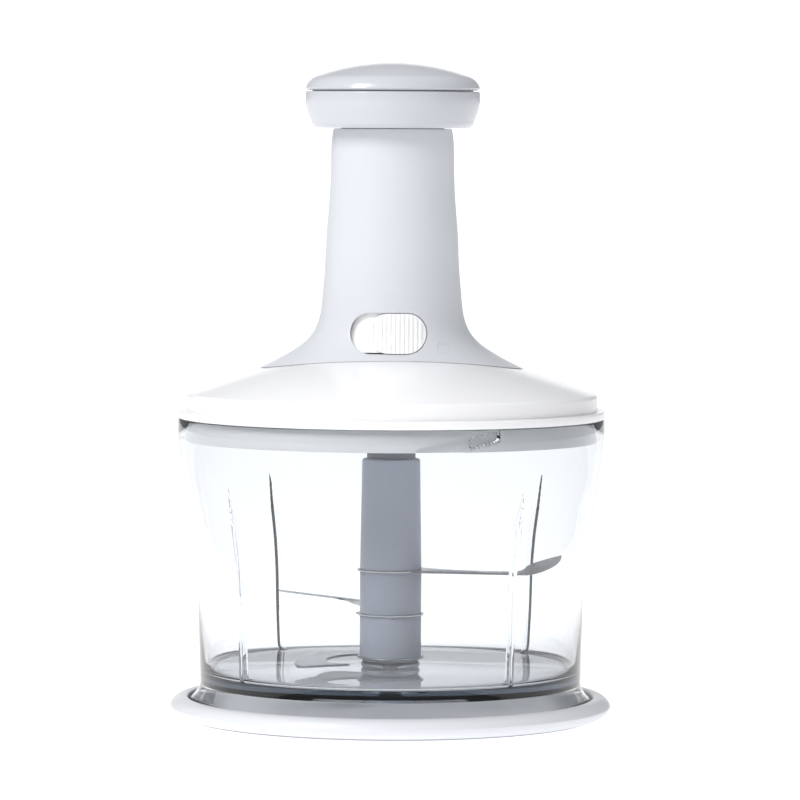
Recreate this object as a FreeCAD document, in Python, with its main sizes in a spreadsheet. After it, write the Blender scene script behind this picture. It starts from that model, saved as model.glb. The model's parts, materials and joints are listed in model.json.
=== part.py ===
import FreeCAD, Part
import math
import os
import Sketcher
from FreeCAD import Placement, Rotation, Vector

# A hand-press food chopper. Origin: middle of the underside, on the table. +Z up, front at -Y.
# Driving sizes in millimetres and degrees. Heights above the rim are steps from piece to piece.
SIZES = {
    # clearances
    "fit": 0.05, "running": 0.08, "gap": 0.3, "screw_clear": 1.7, "screw_pilot": 1.5,
    # bowl
    "rim_radius": 85.0, "rim_height": 119.5, "wall": 2.5,
    "band_drop": 7.5, "shoulder_inset": 2.6, "shoulder_drop": 28.0, "shoulder_arc": 200.0,
    "hip_inset": 5.6, "hip_drop": 45.5, "waist_inset": 8.0, "waist_drop": 69.5, "waist_arc": 173.0,
    "heel_inset": 9.0, "floor_top": 17.8, "floor_thickness": 3.2, "floor_corner": 3.0,
    "skirt_flare": 3.6, "skirt_bend_top": 14.0, "skirt_bend_bottom": 8.0, "skirt_arc": 8.5,
    "skirt_wall": 2.0,
    "boss_radius": 11.7, "boss_height": 2.8, "pin_radius": 3.0, "pin_top": 46.0,
    "rib_depth": 2.6, "rib_thickness": 2.0, "rib_top_drop": 25.0, "rib_turn": 39.0, "ribs": 4,
    # bayonet lugs and channels: the helix climbs 4.2 mm over 14 degrees
    "lugs": 3, "lug_turn": 25.6, "lug_span": 8.8, "lug_depth": 2.2, "lug_drop": 4.1,
    "lug_tall": 4.4, "lug_low": 3.0, "lock_turn": 14.0, "lock_rise": 4.2, "channel_gap": 0.35,
    # base tray
    "tray_gap": 1.2, "tray_width": 8.4, "tray_floor_top": 3.6, "tray_floor": 2.2,
    "tray_under": 0.6, "tray_lip": 8.6, "tray_bulge": 4.8,
    "foot_ring_width": 4.0, "foot_ring_inset": 2.4, "foot_ring_height": 2.0,
    # lid
    "flange_depth": 3.1, "lid_inset": 3.0, "lid_band": 9.9, "lid_wall": 2.5,
    "cone_top_radius": 30.8, "cone_rise": 17.0, "ring_radius": 18.5, "ring_depth": 2.5,
    "seal_groove_inner": 2.1, "seal_groove_outer": 0.6, "seal_groove_depth": 1.5, "seal_play": 0.15,
    "skirt_play": 0.6, "skirt_drop": 8.9, "plug_wall": 4.5, "cover_drop": 4.8, "cover_plate": 2.2,
    "bush_radius": 12.25, "bush_length": 9.0, "bush_collar": 1.5, "cover_boss_wall": 2.3,
    "cover_screw_circle": 60.0, "cover_screw_boss": 4.0, "cover_screws": 4,
    # tower: half-widths run on a straight taper, plus a flare that leans out at the foot and
    # dies away upwards over the flare's length; the front flares less than the sides
    "tower_height": 94.3, "tower_top_radius": 23.5, "tower_taper": 0.06, "tower_wall": 2.0,
    "flare_lean": 2.3, "flare_front": 0.685, "flare_length": 4.3, "flare_height": 2.5,
    "tower_mouth": 21.0, "tower_screw_circle": 25.0, "tower_screw_boss": 3.2,
    "slot_length": 30.3, "slot_width": 16.0, "slot_side": -1.25, "slot_rise": 14.1,
    # lock slider
    "button_length": 22.7, "button_width": 15.4, "button_proud": 0.5, "slider_plate": 1.6,
    # press handle
    "stroke": 60.0, "sleeve_radius": 20.5, "sleeve_wall": 2.2, "sleeve_bottom_rise": 10.5,
    "knob_radius": 34.75, "knob_height": 14.5, "knob_wall": 2.4, "knob_under": 30.5,
    "knob_gap": 0.5, "cap_height": 11.0, "cap_edge": 4.4, "cap_rise": 5.4, "cap_wall": 2.2,
    "carrier_radius": 8.0, "carrier_bore": 5.6, "guide_bore": 14.0, "guide_radius": 16.0,
    "guide_length": 79.0, "key_width": 5.0, "key_depth": 1.8,
    # drive
    "rod_side": 5.6, "rod_play": 0.32, "lead": 40.0, "nut_height": 9.0,
    "journal_radius": 6.0, "collar_radius": 8.0, "housing_bore": 15.5, "housing_wall": 2.2,
    "housing_plate": 2.5, "spring_radius": 11.4, "spring_wire": 1.6, "spring_turns": 12,
    "clutch_radius": 12.5, "dog_inner": 8.5, "clutch_spring_radius": 7.0, "clutch_wire": 1.0,
    "neck_radius": 9.7, "nose_corner": 6.0, "nose_length": 11.5,
    # blades, from the lowest piece up
    "shaft_radius": 12.3, "shaft_top_radius": 11.6, "shaft_height": 82.6, "core_corner": 8.0,
    "blade_thickness": 0.8, "lower_spacer": 18.0, "upper_spacer": 17.1, "end_cap": 1.0,
    "end_chamfer": 1.1, "spigot_radius": 5.0, "spigot_length": 5.0, "blade_ring": 1.0,
    "tip_tilt": 0.135,
}

doc = FreeCAD.newDocument("food_chopper")
sheet = doc.addObject("Spreadsheet::Sheet", "dim")
for row, (alias, value) in enumerate(SIZES.items(), start=1):
    sheet.set(f"A{row}", alias)
    sheet.set(f"B{row}", str(value))
    sheet.setAlias(f"B{row}", alias)
doc.recompute()

nodes = []


def num(expression):
    """Value of an expression that may name cells of the sheet."""
    return float(doc.getObject("dim").evalExpression(str(expression)))


def keep(obj, label):
    """Give a finished piece the name of its file."""
    obj.Label = label
    nodes.append(obj)
    return obj


def attach(body, sketch, role, lift=None):
    """Lay a sketch on one of its own body's origin planes, lifted along the plane's normal."""
    plane = next(f for f in body.Origin.OriginFeatures if f.Role == role)
    sketch.AttachmentSupport = [(plane, "")]
    sketch.MapMode = "FlatFace"
    if lift is not None:
        sketch.setExpression("AttachmentOffset.Base.z", lift)


def outline(sketch, points):
    """Closed outline. A point is (x, y) or (x, y, radius, side): an arc runs from it to the next
    point, with its centre to the left (side 1) or right (side -1) of the way."""
    count = len(points)
    spots = [Vector(num(p[0]), num(p[1]), 0) for p in points]
    starts = []
    ends = []
    for i, point in enumerate(points):
        a, b = spots[i], spots[(i + 1) % count]
        if len(point) == 2:
            index = sketch.addGeometry(Part.LineSegment(a, b), False)
            starts.append((index, 1))
            ends.append((index, 2))
            continue
        radius, side = num(point[2]), point[3]
        chord = b - a
        left = Vector(-chord.y, chord.x, 0).normalize()
        reach = math.sqrt(max(radius ** 2 - (chord.Length / 2) ** 2, 0))
        centre = a + chord * 0.5 + left * reach * side
        first, last = (a, b) if side > 0 else (b, a)
        angles = [math.atan2(p.y - centre.y, p.x - centre.x) for p in (first, last)]
        circle = Part.Circle(centre, Vector(0, 0, 1), radius)
        index = sketch.addGeometry(Part.ArcOfCircle(circle, *angles), False)
        starts.append((index, 1 if side > 0 else 2))
        ends.append((index, 2 if side > 0 else 1))
    for i, point in enumerate(points):
        index, spot = starts[i]
        sketch.addConstraint(Sketcher.Constraint("Coincident", *ends[i - 1], index, spot))
        for kind, value, text in (("DistanceX", spots[i].x, point[0]), ("DistanceY", spots[i].y, point[1])):
            if abs(value) < 1e-9 and str(text) == "0":
                line = -2 if kind == "DistanceX" else -1
                sketch.addConstraint(Sketcher.Constraint("PointOnObject", index, spot, line))
                continue
            here = sketch.addConstraint(Sketcher.Constraint(kind, -1, 1, index, spot, value))
            sketch.setExpression(f"Constraints[{here}]", str(text))
        if len(point) > 2:
            here = sketch.addConstraint(Sketcher.Constraint("Radius", index, num(point[2])))
            sketch.setExpression(f"Constraints[{here}]", str(point[2]))
    return sketch


def turned(name, points):
    """Body turned about Z from an outline of (radius, height) points."""
    body = doc.addObject("PartDesign::Body", name)
    sketch = body.newObject("Sketcher::SketchObject", name + "_outline")
    attach(body, sketch, "XZ_Plane")
    outline(sketch, points)
    turn = body.newObject("PartDesign::Revolution", name + "_turn")
    turn.Profile = sketch
    turn.ReferenceAxis = (sketch, ["V_Axis"])
    turn.Angle = 360
    body.Tip = turn
    doc.recompute()
    return body


def circles(sketch, rings):
    """Circles (x, y, radius) with their places and sizes bound to the sheet."""
    for x, y, radius in rings:
        centre = Vector(num(x), num(y), 0)
        index = sketch.addGeometry(Part.Circle(centre, Vector(0, 0, 1), num(radius)), False)
        here = sketch.addConstraint(Sketcher.Constraint("Radius", index, num(radius)))
        sketch.setExpression(f"Constraints[{here}]", str(radius))
        if str(x) == "0" and str(y) == "0":
            sketch.addConstraint(Sketcher.Constraint("Coincident", index, 3, -1, 1))
            continue
        for kind, value, text in (("DistanceX", centre.x, x), ("DistanceY", centre.y, y)):
            if str(text) == "0":
                line = -2 if kind == "DistanceX" else -1
                sketch.addConstraint(Sketcher.Constraint("PointOnObject", index, 3, line))
                continue
            here = sketch.addConstraint(Sketcher.Constraint(kind, -1, 1, index, 3, value))
            sketch.setExpression(f"Constraints[{here}]", str(text))


def pattern(body, feature, copies, angle=360):
    """Repeat a feature about Z."""
    polar = body.newObject("PartDesign::PolarPattern", feature.Name + "_round")
    polar.Originals = [feature]
    axis = next(f for f in body.Origin.OriginFeatures if f.Role == "Z_Axis")
    polar.Axis = (axis, [""])
    polar.Angle = angle
    polar.Occurrences = int(copies)
    body.Tip = polar
    doc.recompute()
    return polar


def raised(body, name, level, height, rings=None, points=None, copies=1, angle=360):
    """Pad upwards from a level, and its copies about Z."""
    sketch = body.newObject("Sketcher::SketchObject", name + "_outline")
    attach(body, sketch, "XY_Plane", level)
    circles(sketch, rings) if rings else outline(sketch, points)
    pad = body.newObject("PartDesign::Pad", name)
    pad.Profile = sketch
    pad.setExpression("Length", height)
    body.Tip = pad
    doc.recompute()
    return pattern(body, pad, copies, angle) if copies > 1 else pad


def bored(body, name, level, depth, rings=None, points=None, copies=1, angle=360):
    """Pocket upwards from a level, and its copies about Z. It has to take material away."""
    before = body.Shape.Volume
    sketch = body.newObject("Sketcher::SketchObject", name + "_outline")
    attach(body, sketch, "XY_Plane", level)
    circles(sketch, rings) if rings else outline(sketch, points)
    pocket = body.newObject("PartDesign::Pocket", name)
    pocket.Profile = sketch
    pocket.setExpression("Length", depth)
    pocket.Reversed = True
    body.Tip = pocket
    doc.recompute()
    feature = pattern(body, pocket, copies, angle) if copies > 1 else pocket
    if body.Shape.Volume > before - 0.01:
        raise ValueError(name + " cuts nothing")
    return feature


def shaped(name, shape):
    """Piece with a shape from Part's own functions."""
    obj = doc.addObject("Part::Feature", name)
    obj.Shape = shape
    return obj


def boolean(kind, name, base, tool):
    """Part::Cut, Part::Common or Part::Fuse of two objects."""
    obj = doc.addObject(kind, name)
    obj.Base = base
    obj.Tool = tool
    doc.recompute()
    return obj


def at_turn(radius, degrees, height):
    """Point at a radius and turn about Z. Turn 0 is the front, and it grows towards +X."""
    angle = math.radians(degrees - 90)
    return Vector(radius * math.cos(angle), radius * math.sin(angle), height)


def ruled(sections):
    """Solid through closed polygons, with straight rules from one to the next."""
    wires = [Part.makePolygon(points + points[:1]) for points in sections]
    solid = Part.makeLoft(wires, True, True)
    if not solid.isValid() or solid.Volume < 0:
        solid = solid.reversed()
    return solid


def screws(name, head_radius, head_height, shank_radius, length, spots, up=True):
    """Group of screws. A spot is where the underside of the head lies; up says where the tip points."""
    group = []
    for spot in spots:
        way = Vector(0, 0, 1 if up else -1)
        head = Part.makeCylinder(head_radius, head_height, spot - way * head_height, way)
        head = head.makeChamfer(head_height * 0.3, head.Edges)
        shank = Part.makeCylinder(shank_radius, length, spot, way)
        slot = Part.makeBox(head_radius * 1.2, 0.8, head_height * 0.5)
        slot.translate(Vector(-head_radius * 0.6, -0.4, 0) + spot)
        slot.translate(Vector(0, 0, -head_height if up else head_height * 0.5))
        group.append(head.fuse(shank).removeSplitter().cut(slot))
    return keep(shaped(name, Part.makeCompound(group)), name)


# Levels and radii that follow from the sizes
heel = "(dim.rim_radius - dim.heel_inset)"
foot = f"({heel} + dim.skirt_flare)"
bowl_bottom = "(dim.floor_top - dim.floor_thickness)"
flange_low = "(dim.rim_height + dim.gap)"
flange_top = f"({flange_low} + dim.flange_depth)"
band_top = f"({flange_low} + dim.lid_band)"
lid_radius = "(dim.rim_radius - dim.lid_inset)"
ring_top = f"({band_top} + dim.cone_rise)"
ring_low = f"({ring_top} - dim.ring_depth)"
plug_radius = "(dim.rim_radius - dim.wall - dim.skirt_play)"
plug_low = f"({flange_low} - dim.skirt_drop)"
cover_low = f"({flange_low} - dim.cover_drop)"
cover_top = f"({cover_low} + dim.cover_plate)"
bush_low = f"({cover_low} - dim.cover_plate - dim.gap)"
bush_top = f"({bush_low} + dim.bush_length)"
bush_collar_top = f"({bush_top} + dim.bush_collar)"
cone_slope = f"(dim.cone_rise / ({lid_radius} - dim.cone_top_radius))"


def bowl_side(inset, arc_side):
    """Points up the bowl's side from heel to rim, moved inwards by inset."""
    edge = f"dim.rim_radius - ({inset})"
    return [
        (f"{edge} - dim.heel_inset", "dim.floor_top"),
        (f"{edge} - dim.waist_inset", "dim.rim_height - dim.waist_drop", "dim.waist_arc", arc_side),
        (f"{edge} - dim.hip_inset", "dim.rim_height - dim.hip_drop"),
        (f"{edge} - dim.shoulder_inset", "dim.rim_height - dim.shoulder_drop",
         "dim.shoulder_arc", -arc_side),
        (f"{edge}", "dim.rim_height - dim.band_drop"),
        (f"{edge}", "dim.rim_height"),
    ]


def backwards(points):
    """The same outline walked the other way, with each arc moved to its new first point."""
    turned_round = []
    for i in range(len(points) - 1, -1, -1):
        place = points[i][:2]
        before = points[i - 1] if i else ()
        turned_round.append(place + (before[2], -before[3]) if len(before) > 2 else place)
    return turned_round


def make_base():
    """Tray that the bowl stands in, and the soft ring under it."""
    lip = f"({foot} + dim.tray_gap)"
    ring_out = f"({foot} + dim.foot_ring_inset - dim.gap)"
    ring_in = f"({ring_out} - dim.foot_ring_width)"
    groove_out = f"({ring_out} + dim.fit)"
    groove_in = f"({ring_in} - dim.fit)"
    tray = turned("base_tray", [
        ("0", "dim.tray_floor_top - dim.tray_floor"),
        (f"{groove_in} - 2", "dim.tray_floor_top - dim.tray_floor"),
        (f"{groove_in} - 1", "dim.tray_under"),
        (groove_in, "dim.tray_under"),
        (groove_in, "dim.foot_ring_height"),
        (groove_out, "dim.foot_ring_height"),
        (groove_out, "dim.tray_under"),
        (f"{groove_out} + 0.8", "dim.tray_under", "6.4", 1),
        (f"{foot} + dim.tray_width", "dim.tray_bulge", "5.2", 1),
        (f"{lip} + 1.1", "dim.tray_lip", "1.1", 1),
        (lip, "dim.tray_lip - 1"),
        (lip, "dim.tray_floor_top"),
        ("0", "dim.tray_floor_top"),
    ])
    keep(tray, "base_tray")
    ring = turned("foot_ring", [
        (ring_in, "0"), (ring_out, "0"),
        (ring_out, "dim.foot_ring_height"), (ring_in, "dim.foot_ring_height"),
    ])
    keep(ring, "foot_ring")


def lug_sections(grow, start, stop, steps, tall, low):
    """Sections of a lug, or with grow of the room round it, along the bayonet helix."""
    outer = num("dim.rim_radius - dim.wall")
    middle = num(f"{flange_low} - dim.lug_drop - dim.gap")
    climb = num("dim.lock_rise / dim.lock_turn")
    sections = []
    for i in range(steps + 1):
        share = i / steps
        turn = start + (stop - start) * share
        rise = middle + climb * (turn - num("dim.lug_turn"))
        half = (tall + (low - tall) * share) / 2 + grow
        if not grow:
            half *= math.sqrt(max(1 - abs(2 * share - 1) ** 6, 0.12))
        inner = outer - num("dim.lug_depth") - grow
        far = outer + (3.0 if grow else num("dim.wall") * 0.4)
        sections.append([at_turn(inner, turn, rise - half), at_turn(far, turn, rise - half),
                         at_turn(far, turn, rise + half), at_turn(inner, turn, rise + half)])
    return sections


def spread(solid, copies):
    """Copies of a solid at even turns about Z."""
    group = []
    for i in range(copies):
        piece = solid.copy()
        piece.rotate(Vector(0, 0, 0), Vector(0, 0, 1), 360 * i / copies)
        group.append(piece)
    return group


def make_bowl():
    """Clear bowl with its ribs, bayonet lugs and centre boss, and the steel pin in the boss."""
    outer = bowl_side("0", -1)
    inner = backwards(bowl_side("dim.wall", -1))
    corner = "dim.floor_corner"
    pin_hole = "dim.pin_radius + dim.fit"
    pin_low = f"({bowl_bottom} + 1)"
    bowl = turned("bowl_shell", [
        ("0", bowl_bottom),
        (f"{heel} - dim.skirt_wall - 1", bowl_bottom),
        (f"{heel} - dim.skirt_wall", f"{bowl_bottom} - 1", "dim.skirt_arc", 1),
        (f"{foot} - dim.skirt_wall", "dim.skirt_bend_bottom - 1"),
        (f"{foot} - dim.skirt_wall", "dim.tray_floor_top"),
        (foot, "dim.tray_floor_top"),
        (foot, "dim.skirt_bend_bottom", "dim.skirt_arc", -1),
        (heel, "dim.skirt_bend_top"),
        *outer,
        *inner[:-1],
        (inner[-1][0], f"{inner[-1][1]} + {corner}", corner, -1),
        (f"{inner[-1][0]} - {corner}", "dim.floor_top"),
        ("dim.boss_radius - 0.6", "dim.floor_top"),
        ("dim.boss_radius", "dim.floor_top + 0.8", "1.6", 1),
        ("dim.boss_radius - 0.8", "dim.floor_top + dim.boss_height"),
        (pin_hole, "dim.floor_top + dim.boss_height"),
        (pin_hole, pin_low),
        ("0", pin_low),
    ])
    rib_sketch = bowl.newObject("Sketcher::SketchObject", "rib_outline")
    attach(bowl, rib_sketch, "XZ_Plane")
    turn = Rotation(Vector(0, 1, 0), num("dim.rib_turn") - 90)
    rib_sketch.AttachmentOffset = Placement(Vector(0, 0, 0), turn)
    deep = "dim.rim_radius - dim.wall / 2"
    edge = "dim.rim_radius - dim.wall - dim.rib_depth"
    top = "(dim.rim_height - dim.rib_top_drop)"
    outline(rib_sketch, [
        (f"{edge} - dim.heel_inset", "dim.floor_top - 0.5"),
        (f"{deep} - dim.heel_inset", "dim.floor_top - 0.5"),
        (f"{deep} - dim.waist_inset", "dim.rim_height - dim.waist_drop"),
        (f"{deep} - dim.hip_inset", "dim.rim_height - dim.hip_drop"),
        (f"{deep} - dim.shoulder_inset - 0.5", top),
        (f"{edge} - dim.hip_inset + 0.9", f"{top} - 14"),
        (f"{edge} - dim.hip_inset", "dim.rim_height - dim.hip_drop"),
        (f"{edge} - dim.waist_inset", "dim.rim_height - dim.waist_drop"),
    ])
    rib = bowl.newObject("PartDesign::Pad", "rib")
    rib.Profile = rib_sketch
    rib.setExpression("Length", "dim.rib_thickness")
    rib.Midplane = True
    bowl.Tip = rib
    doc.recompute()
    pattern(bowl, rib, num("dim.ribs"))
    start = num("dim.lug_turn - dim.lug_span / 2")
    stop = start + num("dim.lug_span")
    lug = ruled(lug_sections(0, start, stop, 8, num("dim.lug_tall"), num("dim.lug_low")))
    lugs = shaped("bowl_lugs", Part.makeCompound(spread(lug, int(num("dim.lugs")))))
    whole = boolean("Part::Fuse", "bowl", bowl, lugs)
    keep(whole, "bowl")
    pin = turned("bowl_pin", [
        ("0", pin_low), ("dim.pin_radius", pin_low), ("dim.pin_radius", "dim.pin_top - 1.5", "1.5", 1),
        ("dim.pin_radius - 1.5", "dim.pin_top"), ("0", "dim.pin_top"),
    ])
    keep(pin, "bowl_pin")


def make_lid():
    """White lid shell, the grey cover with its plug skirt, the seal, bush and cover screws."""
    groove_in = "dim.rim_radius - dim.seal_groove_inner"
    groove_out = "dim.rim_radius - dim.seal_groove_outer"
    shell = turned("lid_shell", [
        ("dim.ring_radius", ring_low),
        ("dim.cone_top_radius", ring_low),
        (f"{lid_radius} - dim.lid_wall - 0.6", f"{band_top} - dim.lid_wall"),
        (f"{lid_radius} - dim.lid_wall", f"{band_top} - dim.lid_wall - 0.6"),
        (f"{lid_radius} - dim.lid_wall", flange_low),
        (groove_in, flange_low),
        (groove_in, f"{flange_low} + dim.seal_groove_depth"),
        (groove_out, f"{flange_low} + dim.seal_groove_depth"),
        (groove_out, flange_low),
        ("dim.rim_radius", flange_low),
        ("dim.rim_radius", f"{flange_top} - 0.6", "0.6", 1),
        ("dim.rim_radius - 0.6", flange_top),
        (lid_radius, flange_top),
        (lid_radius, f"{band_top} - 1.2", "1.5", 1),
        (f"{lid_radius} - 1", f"{band_top} + {cone_slope}"),
        ("dim.cone_top_radius", ring_top),
        ("dim.ring_radius", ring_top),
    ])
    boss_height = f"{band_top} + ({lid_radius} - dim.cover_screw_circle) * {cone_slope} - {cover_top} - 1.5"
    raised(shell, "cover_boss", cover_top, boss_height, rings=[
        ("dim.cover_screw_circle", "0", "dim.cover_screw_boss"),
        ("dim.cover_screw_circle", "0", "dim.screw_pilot")], copies=num("dim.cover_screws"))
    bored(shell, "tower_screw_hole", f"{ring_low} - 1", "dim.ring_depth + 2", rings=[
        ("dim.tower_screw_circle", "0", "dim.screw_clear")], copies=3, angle=180)
    keep(shell, "lid_shell")

    boss_out = "(dim.bush_radius + dim.fit + dim.cover_boss_wall)"
    plug_in = f"({plug_radius} - dim.plug_wall)"
    cover = turned("inner_cover_plate", [
        ("dim.bush_radius + dim.fit", bush_low),
        (boss_out, bush_low),
        (boss_out, cover_low),
        (plug_in, cover_low),
        (plug_in, plug_low),
        (plug_radius, plug_low),
        (plug_radius, flange_low),
        (plug_in, flange_low),
        (plug_in, cover_top),
        (boss_out, cover_top),
        (boss_out, bush_top),
        ("dim.bush_radius + dim.fit", bush_top),
    ])
    bored(cover, "cover_screw_hole", f"{cover_low} - 1", "dim.cover_plate + 2", rings=[
        ("dim.cover_screw_circle", "0", "dim.screw_clear")], copies=num("dim.cover_screws"))
    first = num("dim.lug_turn - dim.lug_span / 2 - dim.lock_turn") - 0.5
    last = num("dim.lug_turn + dim.lug_span / 2") + 0.5
    tall = num("dim.lug_tall")
    channel = ruled(lug_sections(num("dim.channel_gap"), first, last, 16, tall, tall))
    channels = shaped("bayonet_channels", Part.makeCompound(spread(channel, int(num("dim.lugs")))))
    keep(boolean("Part::Cut", "inner_cover", cover, channels), "inner_cover")

    seal = turned("seal_ring", [
        (f"{groove_in} + dim.seal_play", "dim.rim_height"),
        (f"{groove_out} - dim.seal_play", "dim.rim_height"),
        (f"{groove_out} - dim.seal_play", f"{flange_low} + dim.seal_groove_depth - dim.gap"),
        (f"{groove_in} + dim.seal_play", f"{flange_low} + dim.seal_groove_depth - dim.gap"),
    ])
    keep(seal, "seal_ring")

    bush = turned("bearing_bush", [
        ("dim.neck_radius + dim.running", bush_low),
        ("dim.bush_radius", bush_low),
        ("dim.bush_radius", bush_top),
        ("dim.bush_radius + 2", bush_top),
        ("dim.bush_radius + 2", bush_collar_top),
        ("dim.neck_radius + dim.running", bush_collar_top),
    ])
    keep(bush, "bearing_bush")

    circle = num("dim.cover_screw_circle")
    spots = [at_turn(circle, 90 + 360 * i / num("dim.cover_screws"), num(cover_low))
             for i in range(int(num("dim.cover_screws")))]
    screws("cover_screws", 3.0, 1.6, 1.45, 10.0, spots)


# Levels up the drive, from the bush's collar
coupling_top = f"({bush_collar_top} + dim.gap + 3)"
dog = 3.0
driver_low = f"({coupling_top} + {dog} + dim.gap)"
driver_top = f"({driver_low} + 5)"
housing_top = ring_low
housing_plate_low = f"({housing_top} - dim.housing_plate)"
collar_top = f"({housing_plate_low} - dim.gap)"
collar_low = f"({collar_top} - 1.7)"
guide_flange_top = f"({ring_top} + 2.4)"
tower_top = f"({ring_top} + dim.tower_height - 6.3)"
knob_low = f"({tower_top} + dim.gap)"
knob_ring_top = f"({knob_low} + dim.knob_height)"
sleeve_top = f"({knob_low} + 2.5)"
carrier_top = f"({sleeve_top} - 2.5)"
nut_low = f"({housing_top} + 3.2)"
rod_top = f"({nut_low} + dim.nut_height + dim.stroke + 5)"


def twisted(side, low, high, extra):
    """Square bar with a left-hand twist of one turn per lead, between two levels."""
    lead = num("dim.lead")
    steps = max(2, math.ceil((high - low) / lead * 360 / 15))
    sections = []
    for i in range(steps + 1):
        level = low + (high - low) * i / steps
        angle = -360 * level / lead
        half = side / 2 + extra
        corners = [Vector(x * half, y * half, level) for x, y in ((1, 1), (-1, 1), (-1, -1), (1, -1))]
        spin = Rotation(Vector(0, 0, 1), angle)
        sections.append([spin.multVec(corner) for corner in corners])
    return ruled(sections)


def coil(radius, wire, low, high, turns):
    """Compression spring with its wire inside the two levels."""
    rise = high - low - wire
    helix = Part.makeHelix(rise / turns, rise, radius)
    profile = Part.Wire(Part.makeCircle(wire / 2, Vector(radius, 0, 0), Vector(0, 1, 0)))
    solid = Part.Wire(helix).makePipeShell([profile], True, True)
    solid.translate(Vector(0, 0, low + wire / 2))
    return solid


def sector(inner, outer, low, high, start, span):
    """Block between two radii, two levels and two angles about Z."""
    outer_part = Part.makeCylinder(outer, high - low, Vector(0, 0, low), Vector(0, 0, 1), span)
    inner_part = Part.makeCylinder(inner, high - low + 2, Vector(0, 0, low - 1), Vector(0, 0, 1))
    block = outer_part.cut(inner_part)
    block.rotate(Vector(0, 0, 0), Vector(0, 0, 1), start)
    return block


def make_drive():
    """Spiral rod, its clutch, springs and housing, and the coupling that turns the blades."""
    housing = turned("gear_housing", [
        ("dim.housing_bore", f"{cover_top} + dim.gap"),
        ("dim.housing_bore + dim.housing_wall", f"{cover_top} + dim.gap"),
        ("dim.housing_bore + dim.housing_wall", housing_plate_low),
        ("dim.tower_screw_circle + dim.tower_screw_boss", housing_plate_low),
        ("dim.tower_screw_circle + dim.tower_screw_boss", housing_top),
        ("dim.journal_radius + dim.running", housing_top),
        ("dim.journal_radius + dim.running", housing_plate_low),
        ("dim.housing_bore", housing_plate_low),
    ])
    bored(housing, "housing_screw_hole", f"{housing_plate_low} - 1", "dim.housing_plate + 2", rings=[
        ("dim.tower_screw_circle", "0", "dim.screw_clear")], copies=3, angle=180)
    keep(housing, "gear_housing")

    low, top = num(driver_low) + 1, num(rod_top)
    rod = twisted(num("dim.rod_side"), low, top, 0)
    rod = rod.fuse(Part.makeCylinder(num("dim.journal_radius"), num(housing_top) - num(collar_low) - 0.2,
                                     Vector(0, 0, num(collar_low))))
    rod = rod.fuse(Part.makeCylinder(num("dim.collar_radius"), num(collar_top) - num(collar_low),
                                     Vector(0, 0, num(collar_low))))
    keep(shaped("spiral_rod", rod), "spiral_rod")

    radius = num("dim.clutch_radius")
    driver = Part.makeCylinder(radius, num(driver_top) - num(driver_low), Vector(0, 0, num(driver_low)))
    dog_inner = num("dim.dog_inner")
    dogs = [sector(dog_inner, radius, num(coupling_top) + num("dim.gap"), num(driver_low) + 0.5,
                   60 + 120 * i, 50) for i in range(3)]
    driver = driver.multiFuse(dogs)
    socket = twisted(num("dim.rod_side"), low, num(driver_top) + 1, num("dim.fit"))
    keep(shaped("clutch_driver", driver.cut(socket)), "clutch_driver")

    spring = coil(num("dim.clutch_spring_radius"), num("dim.clutch_wire"), num(driver_top),
                  num(collar_low), 2.5)
    keep(shaped("clutch_spring", spring), "clutch_spring")

    shaft_top = num("dim.floor_top + dim.boss_height + dim.gap + dim.shaft_height")
    neck_low = shaft_top + num("dim.gap")
    coupling = Part.makeCylinder(num("dim.neck_radius"), num(coupling_top) - neck_low, Vector(0, 0, neck_low))
    flange_under = num(f"{bush_collar_top} + dim.gap")
    coupling = coupling.fuse(Part.makeCylinder(radius, num(coupling_top) - flange_under,
                                               Vector(0, 0, flange_under)))
    nose = doc.addObject("Part::Prism", "coupling_nose")
    nose.Polygon = 6
    nose.setExpression("Circumradius", "dim.nose_corner")
    nose.setExpression("Height", "dim.nose_length + 1")
    nose.Placement = Placement(Vector(0, 0, neck_low - num("dim.nose_length")), Rotation())
    doc.recompute()
    dogs = [sector(dog_inner, radius, num(coupling_top) - 0.5, num(coupling_top) + dog,
                   120 * i, 50) for i in range(3)]
    body = shaped("coupling_body", coupling.multiFuse(dogs))
    keep(boolean("Part::Fuse", "drive_coupling", body, nose), "drive_coupling")

    spring = coil(num("dim.spring_radius"), num("dim.spring_wire"), num(housing_top), num(carrier_top),
                  num("dim.spring_turns"))
    keep(shaped("return_spring", spring), "return_spring")


def flare_at(level):
    """How far the tower's side stands out of its taper at a level."""
    reach = f"({ring_top} + dim.flare_height - ({level})) / dim.flare_length"
    return f"dim.flare_lean * dim.flare_length * log(1 + exp({reach}))"


def tower_object(name, shrink, low, high, stations):
    """Lofted tower form, its half-widths reduced by shrink. The stations crowd into the flare."""
    rings = []
    for i in range(stations + 1):
        share = (i / stations) ** 2.2
        level = f"({low} + ({high} - ({low})) * {share:.5f})"
        taper = f"dim.tower_top_radius + dim.tower_taper * ({tower_top} - {level})"
        flare = flare_at(level)
        ring = doc.addObject("Part::Ellipse", f"{name}_{i}")
        ring.MajorRadius = 500
        ring.setExpression("MinorRadius", f"{taper} + dim.flare_front * {flare} - {shrink}")
        ring.setExpression("MajorRadius", f"{taper} + {flare} - {shrink} + 0.001")
        ring.setExpression("Placement.Base.z", level)
        rings.append(ring)
    loft = doc.addObject("Part::Loft", name)
    loft.Sections = rings
    loft.Solid = True
    loft.Ruled = False
    doc.recompute()
    return loft


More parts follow.
